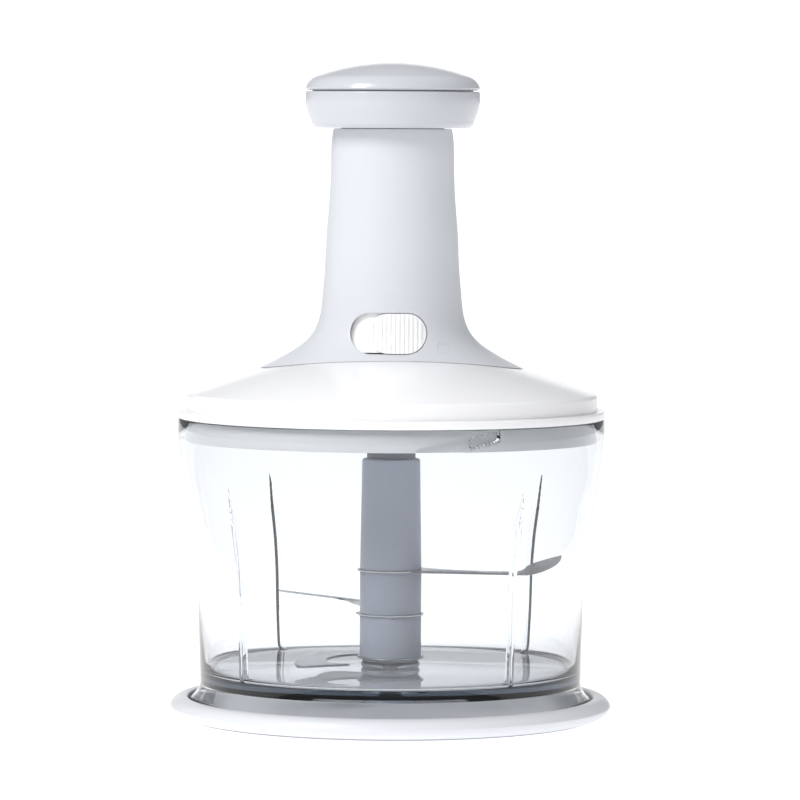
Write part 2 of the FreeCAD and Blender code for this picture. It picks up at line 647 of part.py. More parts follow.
def stadium(name, length, width, x, z, near, far):
    """Prism with round ends along Y, from near to far in front of the axis."""
    half = num(width) / 2
    span = num(length) / 2 - half
    left, right = Vector(x - span, -near, z), Vector(x + span, -near, z)
    up = Vector(0, 0, half)
    edges = [
        Part.LineSegment(left - up, right - up).toShape(),
        Part.Arc(right - up, right + Vector(half, 0, 0), right + up).toShape(),
        Part.LineSegment(right + up, left + up).toShape(),
        Part.Arc(left + up, left - Vector(half, 0, 0), left - up).toShape(),
    ]
    prism = Part.Face(Part.Wire(edges)).extrude(Vector(0, -(far - near), 0))
    return shaped(name, prism)


def make_tower():
    """Tower shell with its slot and bosses, the guide tube inside it and the lock slider."""
    outer = tower_object("tower_outer", "0", f"{ring_top} - 9", tower_top, 11)
    inner = tower_object("tower_inner", "dim.tower_wall", f"{ring_top} - 9.5", f"{tower_top} - 2.5", 11)
    shell = boolean("Part::Cut", "tower_shell", outer, inner)
    mouth = doc.addObject("Part::Cylinder", "tower_mouth_bore")
    mouth.setExpression("Radius", "dim.tower_mouth")
    mouth.Height = 20
    mouth.setExpression("Placement.Base.z", f"{tower_top} - 10")
    shell = boolean("Part::Cut", "tower_open", shell, mouth)

    boss_top = num(f"{guide_flange_top} + 18")
    bosses = []
    for i in range(3):
        spot = at_turn(num("dim.tower_screw_circle"), 90 + 90 * i, num(guide_flange_top))
        post = Part.makeCylinder(num("dim.tower_screw_boss"), boss_top - spot.z, spot)
        web = Part.makeBox(8, 2, boss_top - spot.z - 6,
                           Vector(num("dim.tower_screw_circle") + 1, -1, spot.z + 6))
        web.rotate(Vector(0, 0, 0), Vector(0, 0, 1), 90 * i)
        hole = Part.makeCylinder(1.5, boss_top - spot.z - 2, spot - Vector(0, 0, 1))
        bosses.append(post.fuse(web).cut(hole))
    middle = tower_object("tower_middle", "dim.tower_wall / 2", f"{ring_top} - 9", tower_top, 11)
    posts = shaped("tower_posts", Part.makeCompound([b.common(middle.Shape) for b in bosses]))
    shell = boolean("Part::Fuse", "tower_with_posts", shell, posts)

    slot = stadium("slider_slot", "dim.slot_length", "dim.slot_width", num("dim.slot_side"),
                   num(f"{ring_top} - 6.3 + dim.slot_rise"), 20, 50)
    shell = boolean("Part::Cut", "tower_slotted", shell, slot)
    cone = doc.addObject("Part::Cone", "lid_cone")
    cone.setExpression("Radius1", f"{lid_radius} + 8")
    cone.setExpression("Radius2", "dim.cone_top_radius")
    cone.setExpression("Height", f"dim.cone_rise + 8 * {cone_slope}")
    cone.setExpression("Placement.Base.z", f"{band_top} - 8 * {cone_slope} + dim.fit")
    shell = boolean("Part::Cut", "tower", shell, cone)
    keep(shell, "tower")


def make_guide():
    """Guide tube that the sleeve's keys run in, and the screws that clamp the stack together."""
    guide_top = f"({ring_top} + dim.guide_length)"
    guide = turned("guide_tube", [
        ("dim.guide_bore", ring_top),
        ("dim.tower_screw_circle + dim.tower_screw_boss", ring_top),
        ("dim.tower_screw_circle + dim.tower_screw_boss", guide_flange_top),
        ("dim.guide_radius", guide_flange_top),
        ("dim.guide_radius", guide_top),
        ("dim.guide_bore", guide_top),
    ])
    bored(guide, "guide_screw_hole", f"{ring_top} - 1", "5", rings=[
        ("dim.tower_screw_circle", "0", "dim.screw_clear")], copies=3, angle=180)
    half = "(dim.key_width / 2 + dim.gap)"
    bored(guide, "keyway", f"{guide_flange_top} + 1", "dim.guide_length", points=[
        ("dim.guide_bore - 1", f"-{half}"), ("dim.guide_radius + 1", f"-{half}"),
        ("dim.guide_radius + 1", half), ("dim.guide_bore - 1", half)], copies=2)
    keep(guide, "guide_tube")
    spots = [at_turn(num("dim.tower_screw_circle"), 90 + 90 * i, num(housing_plate_low)) for i in range(3)]
    screws("tower_screws", 2.8, 2.0, 1.45, 20.0, spots)


def front_profile(shrink, low, high):
    """Tower's front radius at five levels, reduced by shrink, as (radius, height) numbers."""
    points = []
    for i in range(5):
        level = low + (high - low) * i / 4
        taper = num(f"dim.tower_top_radius + dim.tower_taper * ({tower_top} - {level})")
        flare = num(f"dim.flare_front * {flare_at(level)}")
        points.append(Vector(taper + flare - shrink, 0, level))
    return points


def skin(inside, outside, low, high):
    """Ring that follows the tower's front, between two depths below its surface."""
    inner = front_profile(inside, low, high)
    outer = front_profile(outside, low, high)
    curve_in = Part.BSplineCurve()
    curve_in.interpolate(inner)
    curve_out = Part.BSplineCurve()
    curve_out.interpolate(outer)
    edges = [curve_out.toShape(), Part.LineSegment(outer[-1], inner[-1]).toShape(),
             curve_in.toShape(), Part.LineSegment(inner[0], outer[0]).toShape()]
    return Part.Face(Part.Wire(Part.__sortEdges__(edges))).revolve(Vector(0, 0, 0), Vector(0, 0, 1), 360)


def make_slider():
    """Lock slider: a ribbed button in the slot on a curved plate behind it, and its retainer."""
    z = num(f"{ring_top} - 6.3 + dim.slot_rise")
    proud, wall, gap = num("dim.button_proud"), num("dim.tower_wall"), num("dim.gap")
    under = wall + gap + 0.1
    back = under + num("dim.slider_plate")
    low, high = z - num("dim.slot_width") / 2 - 2, z + num("dim.slot_width") / 2 + 2
    right = num("dim.slot_side + dim.slot_length / 2") - gap
    middle = right - num("dim.button_length") / 2
    prism = stadium("button_prism", "dim.button_length", "dim.button_width", middle, z, 20, 50)
    button = skin(back, -proud, low, high).common(prism.Shape)
    plate_low = num(ring_top) + gap
    plate_box = Part.makeBox(39, 40, high - plate_low - 0.5, Vector(right - 31.5, -45, plate_low))
    plate = skin(back, under, low, high).common(plate_box)
    ribs = []
    for i in range(12):
        x = right - 2.2 - 1.73 * i
        rib = skin(-proud + 0.3, -proud - 0.35, low, high)
        bar = Part.makeBox(0.8, 40, 30, Vector(x - 0.4, -50, z - 15))
        ribs.append(rib.common(bar).common(prism.Shape))
    slider = button.multiFuse([plate] + ribs)
    keep(shaped("lock_slider", slider), "lock_slider")

    ring = skin(back + gap + 1.6, back + gap, num(guide_flange_top), high)
    box = Part.makeBox(30, 40, 40, Vector(-15, -45, num(guide_flange_top)))
    keep(shaped("slider_retainer", ring.common(box)), "slider_retainer")


def make_handle():
    """Press sleeve, knob, nut carrier, drive nut and their screws."""
    sleeve_in = "(dim.sleeve_radius - dim.sleeve_wall)"
    collar = "(dim.sleeve_radius + 7.5)"
    sleeve_low = f"({ring_top} - 6.3 + dim.sleeve_bottom_rise)"
    sleeve = turned("press_sleeve", [
        (sleeve_in, sleeve_low),
        ("dim.sleeve_radius", sleeve_low),
        ("dim.sleeve_radius", sleeve_top),
        (collar, sleeve_top),
        (collar, f"{sleeve_top} + 2"),
        ("2.7", f"{sleeve_top} + 2"),
        ("2.7", carrier_top),
        (sleeve_in, carrier_top),
    ])
    half = "(dim.key_width / 2)"
    inner_edge = "(dim.guide_radius - dim.key_depth)"
    raised(sleeve, "key", sleeve_low, "12", points=[
        (inner_edge, f"-{half}"), (f"{sleeve_in} + 0.8", f"-{half}"),
        (f"{sleeve_in} + 0.8", half), (inner_edge, half)], copies=2)
    bored(sleeve, "collar_hole", f"{sleeve_top} - 1", "4", rings=[
        ("dim.sleeve_radius + 4", "0", "dim.screw_clear")], copies=3)
    keep(sleeve, "press_sleeve")

    wall = "dim.knob_wall"
    ring_radius = "dim.knob_radius"
    ring = turned("knob_ring", [
        ("dim.sleeve_radius + 0.2", knob_low),
        ("dim.knob_under", knob_low, "4.5", 1),
        (f"{ring_radius} - 2.2", f"{knob_low} + 3", "32", 1),
        (ring_radius, f"{knob_low} + 10"),
        (ring_radius, knob_ring_top),
        (f"{ring_radius} - {wall}", knob_ring_top),
        (f"{ring_radius} - {wall}", f"{knob_low} + 9"),
        (f"{ring_radius} - {wall} - 2.4", f"{sleeve_top} + 1"),
        (f"{ring_radius} - {wall} - 3.4", sleeve_top),
        ("dim.sleeve_radius + 0.2", sleeve_top),
    ])
    bored(ring, "knob_screw_hole", f"{knob_low} + 0.8", "4", rings=[
        ("dim.sleeve_radius + 4", "0", "dim.screw_pilot")], copies=3)
    keep(ring, "knob_ring")

    cap_low = f"({knob_ring_top} + dim.knob_gap)"
    cap_top = f"({cap_low} + dim.cap_height)"
    inner = f"({ring_radius} - {wall} - dim.gap)"
    dome_edge = f"({ring_radius} - dim.cap_edge)"
    dome = f"(({dome_edge}^2 + dim.cap_rise^2) / (2 * dim.cap_rise))"
    dome_middle = f"({cap_top} - {dome})"
    inner_dome = f"({dome} - dim.cap_wall)"
    inner_edge = f"({inner} - 3.2)"
    cap = turned("knob_cap", [
        (f"{inner} - 1.8", f"{cap_low} - 6"),
        (inner, f"{cap_low} - 6"),
        (inner, cap_low),
        (f"{ring_radius} - 0.6", cap_low),
        (ring_radius, f"{cap_low} + 0.8", "7.2", 1),
        (dome_edge, f"{cap_top} - dim.cap_rise", dome, 1),
        ("0", cap_top),
        ("0", f"{cap_top} - dim.cap_wall", inner_dome, -1),
        (inner_edge, f"{dome_middle} + sqrt({inner_dome}^2 - {inner_edge}^2)"),
        (f"{inner} - 1.8", f"{cap_low} + 1"),
    ])
    keep(cap, "knob_cap")

    carrier = turned("nut_carrier", [
        ("dim.carrier_bore", f"{nut_low} + 1 + dim.nut_height"),
        ("dim.carrier_radius - 0.95", f"{nut_low} + 1 + dim.nut_height"),
        ("dim.carrier_radius - 0.95", f"{nut_low} + 1"),
        ("dim.carrier_radius", f"{nut_low} + 1"),
        ("dim.carrier_radius", carrier_top),
        ("1.9", carrier_top),
        ("1.9", f"{carrier_top} - 4"),
        ("dim.carrier_bore", f"{carrier_top} - 4"),
    ])
    keep(carrier, "nut_carrier")
    screws("carrier_screw", 4.5, 2.4, 1.85, 8.0, [Vector(0, 0, num(f"{sleeve_top} + 2"))], up=False)
    spots = [at_turn(num("dim.sleeve_radius + 4"), 90 + 120 * i, num(f"{sleeve_top} + 2")) for i in range(3)]
    screws("knob_screws", 2.7, 1.8, 1.45, 3.4, spots, up=False)

    nut = Part.makeCylinder(num("dim.carrier_radius") - 1, num("dim.nut_height") + 1,
                            Vector(0, 0, num(nut_low)))
    nut = nut.fuse(Part.makeCylinder(num("dim.carrier_radius"), 1, Vector(0, 0, num(nut_low))))
    bore = twisted(num("dim.rod_side"), num(nut_low) - 1, num(nut_low) + num("dim.nut_height") + 2,
                   num("dim.rod_play"))
    keep(shaped("drive_nut", nut.cut(bore)), "drive_nut")


# Levels up the blade stack
end_low = "(dim.floor_top + dim.boss_height + dim.gap)"
lower_low = f"({end_low} + dim.end_cap)"
spacer_one = f"({lower_low} + dim.blade_thickness)"
middle_low = f"({spacer_one} + dim.lower_spacer)"
spacer_two = f"({middle_low} + dim.blade_thickness)"
upper_low = f"({spacer_two} + dim.upper_spacer)"
sleeve_start = f"({upper_low} + dim.blade_thickness)"


def hexagon(name, corner, low, height):
    """Upright hexagonal prism."""
    prism = doc.addObject("Part::Prism", name)
    prism.Polygon = 6
    prism.setExpression("Circumradius", corner)
    prism.setExpression("Height", height)
    prism.setExpression("Placement.Base.z", low)
    doc.recompute()
    return prism


def spacer(name, low, length, radius):
    """Plastic sleeve between two blades, on the hexagonal core."""
    tube = doc.addObject("Part::Cylinder", name + "_tube")
    tube.setExpression("Radius", radius)
    tube.setExpression("Height", length)
    tube.setExpression("Placement.Base.z", low)
    hole = hexagon(name + "_hole", "dim.core_corner + dim.fit", f"{low} - 1", f"{length} + 2")
    keep(boolean("Part::Cut", name, tube, hole), name)


def blade(name, low, edge, turn, tip=None):
    """Steel blade: a ring round the core and an arm cut to an outline, with an optional raised tip."""
    level = num(low)
    thick = num("dim.blade_thickness")
    flat = Part.makeCylinder(num("dim.shaft_radius + dim.blade_ring"), thick, Vector(0, 0, level))
    corners = [Vector(x, y, level) for x, y in edge]
    arm = Part.Face(Part.makePolygon(corners + corners[:1])).extrude(Vector(0, 0, thick))
    whole = flat.fuse(arm)
    if tip:
        front = min(y for x, y in tip)
        lower = [Vector(x, y, level + num("dim.tip_tilt") * (y - front)) for x, y in tip]
        faces = Part.Face(Part.makePolygon(lower + lower[:1]))
        whole = whole.fuse(faces.extrude(Vector(0, 0, thick)))
    whole.rotate(Vector(0, 0, 0), Vector(0, 0, 1), turn)
    plate = shaped(name + "_plate", whole.removeSplitter())
    hole = hexagon(name + "_hole", "dim.core_corner + dim.fit", f"{low} - 1", f"{thick} + 2")
    keep(boolean("Part::Cut", name, plate, hole), name)


def make_blades():
    """Blade shaft with its hexagonal core, three swept blades, two spacers and the end cap."""
    top = "(dim.floor_top + dim.boss_height + dim.gap + dim.shaft_height)"
    sleeve = turned("blade_sleeve", [
        ("0", sleeve_start), ("dim.shaft_radius", sleeve_start),
        ("dim.shaft_top_radius", f"{top} - 1", "1", 1), ("dim.shaft_top_radius - 1", top), ("0", top),
    ])
    core = hexagon("blade_core", "dim.core_corner", lower_low, f"{sleeve_start} - {lower_low} + 1")
    joined = boolean("Part::Fuse", "blade_body", sleeve, core)
    bore = turned("pin_bore", [
        ("0", f"{lower_low} - 1"),
        ("dim.spigot_radius + dim.fit", f"{lower_low} - 1"),
        ("dim.spigot_radius + dim.fit", f"{lower_low} + dim.spigot_length + 0.2"),
        ("dim.pin_radius + dim.running", f"{lower_low} + dim.spigot_length + 0.2"),
        ("dim.pin_radius + dim.running", "dim.pin_top + 1"),
        ("0", "dim.pin_top + 1"),
    ])
    joined = boolean("Part::Cut", "blade_bored", joined, bore)
    socket = hexagon("nose_socket", "dim.nose_corner + dim.gap", f"{top} - dim.nose_length - 1",
                     "dim.nose_length + 3")
    keep(boolean("Part::Cut", "blade_shaft", joined, socket), "blade_shaft")
    spacer("spacer_lower", spacer_one, "dim.lower_spacer", "dim.shaft_radius")
    spacer("spacer_upper", spacer_two, "dim.upper_spacer", "dim.shaft_radius")
    end = turned("shaft_end", [
        ("dim.pin_radius + 0.2", end_low),
        ("dim.shaft_radius - dim.end_chamfer", end_low),
        ("dim.shaft_radius", f"{end_low} + dim.end_cap - 0.1"),
        ("dim.shaft_radius", lower_low),
        ("dim.spigot_radius", lower_low),
        ("dim.spigot_radius", f"{lower_low} + dim.spigot_length"),
        ("dim.pin_radius + 0.2", f"{lower_low} + dim.spigot_length"),
    ])
    keep(end, "shaft_end")

    long_edge = [(0, -11.8), (12, -11.8), (51.3, -19.1), (55, -18.5), (52, -10), (30, -6), (18, 2), (9, 11.5)]
    long_tip = [(51.3, -19.1), (55.5, -18.2), (61, -11), (66, -1), (69.3, 13.5), (64, 8.5), (57.4, 0.5),
                (51, -10.5)]
    blade("blade_upper", upper_low, long_edge, 0, long_tip)
    blade("blade_middle", middle_low, long_edge, 120, long_tip)
    hook_edge = [(-6, 10.6), (-22.7, 17.1), (-27, 13), (-29.9, 6), (-36.2, -11.1), (-37.8, -18),
                 (-37.4, -27), (-34.6, -35.8), (-15.5, -28.3), (-22.5, -22.5), (-24.7, -18.3),
                 (-24, -8), (-19.5, 0), (-9, 5.6)]
    blade("blade_lower", lower_low, hook_edge, 0)


for make in (make_base, make_bowl, make_lid, make_drive, make_tower, make_guide, make_slider, make_handle,
             make_blades):
    make()
    print(make.__name__)
doc.recompute()

for obj in doc.Objects:
    if "Invalid" in obj.State or "Error" in obj.State:
        raise ValueError(f"{obj.Name} failed: {obj.State}")
for obj in nodes:
    if obj.Shape.isNull() or not obj.Shape.isValid():
        raise ValueError(f"{obj.Label} has no valid shape")

os.makedirs("parts", exist_ok=True)
for obj in nodes:
    obj.Shape.exportStep(f"parts/{obj.Label}.step")
    box = obj.Shape.BoundBox
    print(f"{obj.Label:16s} solids {len(obj.Shape.Solids)}  volume {obj.Shape.Volume:9.1f}"
          f"  z {box.ZMin:6.1f} to {box.ZMax:6.1f}  reach {box.XMax:5.1f}")
print(len(nodes), "pieces")
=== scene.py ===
import json
import math

import bmesh
import bpy
from mathutils import Euler, Matrix, Vector


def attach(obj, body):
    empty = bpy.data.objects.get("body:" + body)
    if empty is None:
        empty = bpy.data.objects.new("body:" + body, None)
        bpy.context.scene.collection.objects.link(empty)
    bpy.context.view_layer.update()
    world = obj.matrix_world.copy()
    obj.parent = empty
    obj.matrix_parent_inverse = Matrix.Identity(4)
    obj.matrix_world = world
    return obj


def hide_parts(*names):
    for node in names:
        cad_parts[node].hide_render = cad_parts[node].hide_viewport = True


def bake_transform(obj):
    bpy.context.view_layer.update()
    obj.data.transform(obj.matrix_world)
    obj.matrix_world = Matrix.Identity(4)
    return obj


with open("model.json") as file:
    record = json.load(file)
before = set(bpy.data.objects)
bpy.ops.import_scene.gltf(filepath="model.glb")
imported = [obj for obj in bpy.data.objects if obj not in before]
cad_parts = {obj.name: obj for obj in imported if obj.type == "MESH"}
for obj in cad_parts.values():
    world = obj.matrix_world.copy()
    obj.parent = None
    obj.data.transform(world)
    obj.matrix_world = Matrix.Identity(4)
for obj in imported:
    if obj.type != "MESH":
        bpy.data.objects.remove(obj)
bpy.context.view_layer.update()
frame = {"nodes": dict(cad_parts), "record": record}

# Hand-press food chopper: clear bowl, three swept blades, white lid, pale grey tower and knob.
# Sizes in the dictionaries are millimetres; heights are measured from the table.
mm = 0.001
nodes = frame["nodes"]


# camera and light
cameraSettings = {
    "distance": 2.062, "height": 0.242, "focal": 233.1, "pitch": -3.2, "yaw": -0.094, "roll": 0.27,
}


def makeCamera(settings):
    data = bpy.data.cameras.new("camera")
    data.sensor_width = 36
    data.lens = settings["focal"]
    data.clip_end = 20
    camera = bpy.data.objects.new("camera", data)
    bpy.context.scene.collection.objects.link(camera)
    camera.location = (0, -settings["distance"], settings["height"])
    aim = Euler((math.radians(90 + settings["pitch"]), 0, math.radians(settings["yaw"])), "XYZ")
    tilt = aim.to_matrix() @ Euler((0, 0, math.radians(settings["roll"]))).to_matrix()
    camera.rotation_euler = tilt.to_euler()
    bpy.context.scene.camera = camera


lightSettings = {
    "backBright": 1.25, "frontDim": 0.42, "sideDim": 0.36, "topBright": 0.6,
    "sideFrom": 0.45, "sideTo": 0.978, "backFrom": 0.990,  # shares of the way from front to back
    "target": (0, 0, 0.13),
    "lamps": {
        # name: place, size, power, colour
        "key": ((-1.5, -1.3, 1.8), (0.9, 1.3), 32, (1.0, 1.0, 1.0)),
        "front": ((-0.5, -2.0, 2.0), (1.2, 0.8), 12, (0.97, 0.98, 1.0)),
        "top": ((-0.3, 0.2, 1.7), (0.9, 0.9), 5, (1.0, 1.0, 1.0)),
    },
}


def passThrough(lamp, piece):  # the lamp neither lights the piece nor is shaded by it
    for kind in ("receiver_collection", "blocker_collection"):
        group = bpy.data.collections.new(lamp.name + "_" + kind)
        group.objects.link(piece)
        setattr(lamp.light_linking, kind, group)
        group.collection_objects[0].light_linking.link_state = "EXCLUDE"


def makeLights(settings):
    for name, (place, size, power, colour) in settings["lamps"].items():
        data = bpy.data.lights.new(name, "AREA")
        data.shape = "RECTANGLE"
        data.size, data.size_y = size
        data.energy = power
        data.color = colour
        lamp = bpy.data.objects.new(name, data)
        bpy.context.scene.collection.objects.link(lamp)
        lamp.location = place
        aim = Vector(settings["target"]) - Vector(place)
        lamp.rotation_euler = aim.to_track_quat("-Z", "Y").to_euler()
        lamp.visible_glossy = name == "key"  # only the key shows in gloss
    world = bpy.data.worlds.new("studio")
    bpy.context.scene.world = world
    world.use_nodes = True
    tree = world.node_tree
    back = tree.nodes["Background"]
    place = tree.nodes.new("ShaderNodeTexCoord")
    split = tree.nodes.new("ShaderNodeSeparateXYZ")
    tree.links.new(place.outputs["Generated"], split.inputs[0])
    along = tree.nodes.new("ShaderNodeValToRGB")  # from in front of the part to behind it
    spread = tree.nodes.new("ShaderNodeMapRange")
    spread.inputs["From Min"].default_value = -1
    tree.links.new(split.outputs["Y"], spread.inputs["Value"])
    tree.links.new(spread.outputs[0], along.inputs[0])
    shades = [(0.0, settings["frontDim"]), (settings["sideFrom"], settings["sideDim"]),
              (settings["sideTo"], settings["sideDim"]), (settings["backFrom"], settings["backBright"])]
    ramp = along.color_ramp
    while len(ramp.elements) < len(shades):
        ramp.elements.new(0.5)
    for element, (spot, shade) in zip(ramp.elements, shades):
        element.position = spot
        element.color = (shade, shade * 1.01, shade * 1.03, 1)
    above = tree.nodes.new("ShaderNodeValToRGB")  # a bright ceiling
    above.color_ramp.elements[0].position = 0.35
    above.color_ramp.elements[0].color = (0, 0, 0, 1)
    above.color_ramp.elements[1].position = 0.8
    bright = settings["topBright"]
    above.color_ramp.elements[1].color = (bright, bright, bright, 1)
    tree.links.new(split.outputs["Z"], above.inputs[0])
    both = tree.nodes.new("ShaderNodeMix")
    both.data_type = "RGBA"
    both.blend_type = "LIGHTEN"
    both.inputs[0].default_value = 1
    tree.links.new(along.outputs[0], both.inputs[6])
    tree.links.new(above.outputs[0], both.inputs[7])
    tree.links.new(both.outputs[2], back.inputs["Color"])
    bpy.context.scene.view_settings.view_transform = "Standard"


floorSettings = {"half": 9.0, "colour": (0.62, 0.62, 0.63), "glow": 0.72}


def makeFloor(settings):
    mesh = bpy.data.meshes.new("floor")
    half = settings["half"]
    corners = [(-half, -half, 0), (half, -half, 0), (half, half, 0), (-half, half, 0)]
    mesh.from_pydata(corners, [], [(0, 1, 2, 3)])
    floor = bpy.data.objects.new("floor", mesh)
    bpy.context.scene.collection.objects.link(floor)
    material = newMaterial("floorPaper", settings["colour"], 0.6, Emission_Strength=settings["glow"])
    material.node_tree.nodes["Principled BSDF"].inputs["Emission Color"].default_value = (1, 1, 1, 1)
    mottle(material, 3.0, 0.01)
    mesh.materials.append(material)


# materials
def newMaterial(name, colour, roughness, **sockets):
    material = bpy.data.materials.new(name)
    material.use_nodes = True
    shader = material.node_tree.nodes["Principled BSDF"]
    shader.inputs["Base Color"].default_value = (*colour, 1)
    shader.inputs["Roughness"].default_value = roughness
    for key, value in sockets.items():
        shader.inputs[key.replace("_", " ")].default_value = value
    return material


def objectNoise(tree, scale, detail=3.0):
    place = tree.nodes.new("ShaderNodeTexCoord")
    noise = tree.nodes.new("ShaderNodeTexNoise")
    noise.inputs["Scale"].default_value = scale
    noise.inputs["Detail"].default_value = detail
    tree.links.new(place.outputs["Object"], noise.inputs["Vector"])
    return noise


def mottle(material, scale, amount):  # faint uneven tone, as moulded plastic has
    tree = material.node_tree
    shader = tree.nodes["Principled BSDF"]
    colour = list(shader.inputs["Base Color"].default_value)[:3]
    noise = objectNoise(tree, scale)
    ramp = tree.nodes.new("ShaderNodeValToRGB")
    for element, spot, gain in zip(ramp.color_ramp.elements, (0.3, 0.7), (1 - amount, 1 + amount)):
        element.position = spot
        element.color = [min(1, c * gain) for c in colour] + [1]
    tree.links.new(noise.outputs["Fac"], ramp.inputs[0])
    tree.links.new(ramp.outputs[0], shader.inputs["Base Color"])


def uneven(material, scale, low, high):  # roughness that wanders, as handled gloss does
    tree = material.node_tree
    noise = objectNoise(tree, scale, 4.0)
    spread = tree.nodes.new("ShaderNodeMapRange")
    spread.inputs["To Min"].default_value = low
    spread.inputs["To Max"].default_value = high
    tree.links.new(noise.outputs["Fac"], spread.inputs["Value"])
    tree.links.new(spread.outputs[0], tree.nodes["Principled BSDF"].inputs["Roughness"])


def grain(material, scale, strength, stretch=(1, 1, 1)):  # fine relief, drawn out along ground lines
    tree = material.node_tree
    place = tree.nodes.new("ShaderNodeTexCoord")
    scaled = tree.nodes.new("ShaderNodeMapping")
    scaled.inputs["Scale"].default_value = stretch
    noise = tree.nodes.new("ShaderNodeTexNoise")
    noise.inputs["Scale"].default_value = scale
    noise.inputs["Detail"].default_value = 5
    bump = tree.nodes.new("ShaderNodeBump")
    bump.inputs["Strength"].default_value = strength
    bump.inputs["Distance"].default_value = 0.0001
    tree.links.new(place.outputs["Object"], scaled.inputs["Vector"])
    tree.links.new(scaled.outputs[0], noise.inputs["Vector"])
    tree.links.new(noise.outputs["Fac"], bump.inputs["Height"])
    tree.links.new(bump.outputs[0], tree.nodes["Principled BSDF"].inputs["Normal"])


def plastic(name, colour, roughness, gloss=0.0, tone=0.01, orange=0.05):
    material = newMaterial(name, colour, roughness, Coat_Weight=gloss, Coat_Roughness=0.08)
    mottle(material, 18.0, tone)
    uneven(material, 30.0, roughness * 0.85, roughness * 1.2)
    grain(material, 900.0, orange)
    return material


def metal(name, colour, roughness, tone, relief, stretch=(1, 1, 1)):
    material = newMaterial(name, colour, roughness, Metallic=1.0)
    mottle(material, 80.0, tone)
    uneven(material, 120.0, roughness * 0.8, roughness * 1.3)
    grain(material, 500.0, relief, stretch)
    return material


clearSettings = {
    "surface": (0.97, 0.985, 0.995), "ior": 1.5, "polish": (0.004, 0.02),
    "tint": (0.42, 0.46, 0.52), "density": 34.0,
}


def clearPlastic(settings):
    material = newMaterial("clearBowl", settings["surface"], 0.01, IOR=settings["ior"],
                           Transmission_Weight=1.0)
    mottle(material, 40.0, 0.004)
    uneven(material, 12.0, *settings["polish"])
    tree = material.node_tree
    soak = tree.nodes.new("ShaderNodeVolumeAbsorption")
    soak.inputs["Color"].default_value = (*settings["tint"], 1)
    soak.inputs["Density"].default_value = settings["density"]
    tree.links.new(soak.outputs[0], tree.nodes["Material Output"].inputs["Volume"])
    return material


def makeMaterials():
    return {
        "tray_plastic": plastic("trayPlastic", (0.75, 0.765, 0.80), 0.34, 0.15, orange=0.12),
        # foot ring: a real rubber ring, and its mid grey also paints in the shade line along the base's
        # bottom edge
        "foot_rubber": plastic("footRubber", (0.45, 0.46, 0.50), 0.7, orange=0.3),
        "clear_plastic": clearPlastic(clearSettings),
        "lid_white": plastic("lidWhite", (0.90, 0.90, 0.915), 0.25, 0.3),
        "cover_grey": plastic("coverGrey", (0.85, 0.86, 0.87), 0.4, 0.05),
        # lid seal: its dark grey is partly the seal's own and partly painted shade for the dark line in the
        # gap over the bowl's rim
        "seal_silicone": plastic("sealSilicone", (0.42, 0.43, 0.46), 0.6),
        "tower_grey": plastic("towerGrey", (0.66, 0.68, 0.715), 0.36, 0.12),
        "knob_grey": plastic("knobGrey", (0.56, 0.58, 0.62), 0.22, 0.35),
        "slider_white": plastic("sliderWhite", (0.93, 0.93, 0.93), 0.4),
        "hub_grey": plastic("hubGrey", (0.42, 0.45, 0.54), 0.4, 0.05),
        "drive_dark": plastic("driveDark", (0.10, 0.11, 0.14), 0.45),
        "inner_plastic": plastic("innerPlastic", (0.76, 0.76, 0.75), 0.45),
        "nut_plastic": plastic("nutPlastic", (0.84, 0.83, 0.78), 0.4),
        "bush_plastic": plastic("bushPlastic", (0.84, 0.83, 0.78), 0.4),
        "blade_steel": metal("groundSteel", (0.42, 0.43, 0.45), 0.24, 0.05, 0.5, (1.0, 12.0, 1.0)),
        "spring_steel": metal("springWire", (0.50, 0.51, 0.53), 0.3, 0.08, 0.2),
        "screw_steel": metal("zincScrew", (0.62, 0.63, 0.66), 0.28, 0.06, 0.2),
    }


# shapes
def walk(points, steps=10):
    # (x, y) is a corner, (x, y, size) a rounded corner, and (x, y, radius, side) starts an arc to the
    # next point with its centre to the left (side 1) or right (side -1) of the way
    out = []
    count = len(points)
    for i, point in enumerate(points):
        here, after = Vector(point[:2]), Vector(points[(i + 1) % count][:2])
        if len(point) == 4:
            chord = after - here
            left = Vector((-chord.y, chord.x)).normalized()
            reach = math.sqrt(max(point[2] ** 2 - (chord.length / 2) ** 2, 0))
            centre = here + chord * 0.5 + left * reach * point[3]
            start, end = here - centre, after - centre
            sweep = math.atan2(start.x * end.y - start.y * end.x, start.dot(end))
            for k in range(steps):
                out.append(centre + Matrix.Rotation(sweep * k / steps, 2) @ start)
        elif len(point) == 3:
            before = Vector(points[i - 1][:2])
            a, b = (before - here).normalized(), (after - here).normalized()
            for k in range(5):  # quadratic corner
                t = k / 4
                out.append(here + a * point[2] * (1 - t) ** 2 + b * point[2] * t ** 2)
        else:
            out.append(here)
    return out


def addPiece(name, mesh, sharp=35):
    piece = bpy.data.objects.new(name, mesh)
    bpy.context.scene.collection.objects.link(piece)
    smoothShade(piece, sharp)
    return piece


def smoothShade(piece, sharp=35):
    piece.data.shade_smooth()
    limit = math.radians(sharp)
    work = bmesh.new()
    work.from_mesh(piece.data)
    for edge in work.edges:
        if len(edge.link_faces) == 2 and edge.calc_face_angle(0) > limit:
            edge.smooth = False
    work.to_mesh(piece.data)
    work.free()


